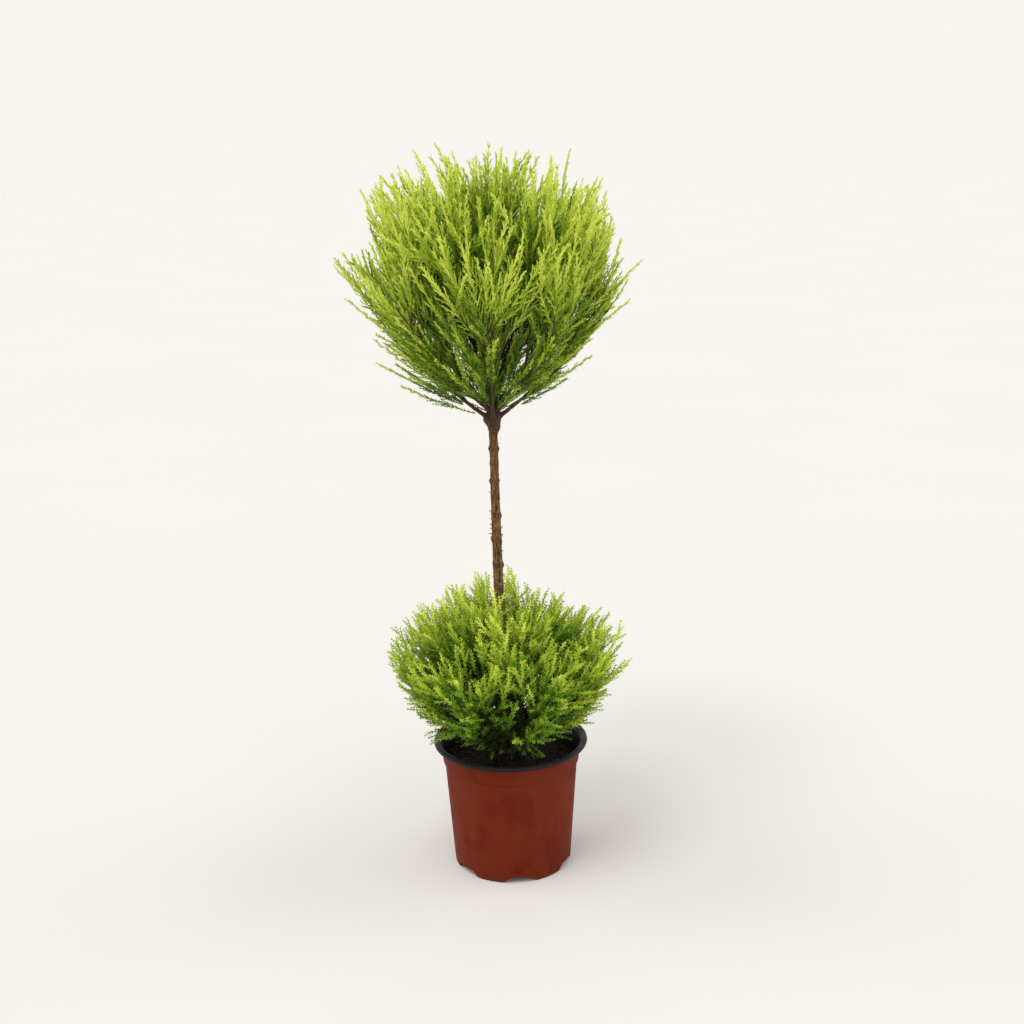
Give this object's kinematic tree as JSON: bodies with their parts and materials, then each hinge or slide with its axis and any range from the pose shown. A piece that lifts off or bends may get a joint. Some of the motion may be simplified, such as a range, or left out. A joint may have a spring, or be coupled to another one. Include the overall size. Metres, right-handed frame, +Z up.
{
  "type": "potted lemon cypress",
  "caption": "Small lemon cypress grown as a standard: a fanned head of lime-green sprays on a bare stem, a skirt of sprays at its foot, in a terracotta-coloured nursery pot.",
  "frame": {"origin": "middle of the pot's flat underside", "axes": "+Z up along the stem, +X to the viewer's right, -Y towards the viewer"},
  "size_m": [0.2995, 0.3054, 0.7835],
  "materials": {
    "pot": "satin moulded plastic, terracotta outside and black on the lip and inside",
    "soil": "loose dark potting mix",
    "trunk_bark": "finely fissured olive-brown bark with dark knots",
    "bough_bark": "thin reddish-brown bark",
    "head_foliage": "soft scale-leaved sprays, lime at the tips and deep green inside",
    "skirt_foliage": "spikier young sprays, bright yellow-green"
  },
  "bodies": {
    "root": {"pot": "pot", "potting_soil": "soil", "trunk": "trunk_bark", "bough_spread_1": "bough_bark", "bough_spread_2": "bough_bark", "bough_spread_3": "bough_bark", "bough_spread_4": "bough_bark", "bough_spread_5": "bough_bark", "bough_spread_6": "bough_bark", "bough_spread_7": "bough_bark", "bough_spread_8": "bough_bark", "bough_steep_1": "bough_bark", "bough_steep_2": "bough_bark", "bough_steep_3": "bough_bark", "bough_steep_4": "bough_bark", "bough_steep_5": "bough_bark", "head_spread_1": "head_foliage", "head_spread_2": "head_foliage", "head_spread_3": "head_foliage", "head_spread_4": "head_foliage", "head_spread_5": "head_foliage", "head_spread_6": "head_foliage", "head_spread_7": "head_foliage", "head_spread_8": "head_foliage", "head_steep_1": "head_foliage", "head_steep_2": "head_foliage", "head_steep_3": "head_foliage", "head_steep_4": "head_foliage", "head_steep_5": "head_foliage", "skirt_low_1": "skirt_foliage", "skirt_low_2": "skirt_foliage", "skirt_low_3": "skirt_foliage", "skirt_low_4": "skirt_foliage", "skirt_low_5": "skirt_foliage", "skirt_low_6": "skirt_foliage", "skirt_low_7": "skirt_foliage", "skirt_high_1": "skirt_foliage", "skirt_high_2": "skirt_foliage", "skirt_high_3": "skirt_foliage", "skirt_high_4": "skirt_foliage", "head_leader": "head_foliage"}
  },
  "joints": []
}
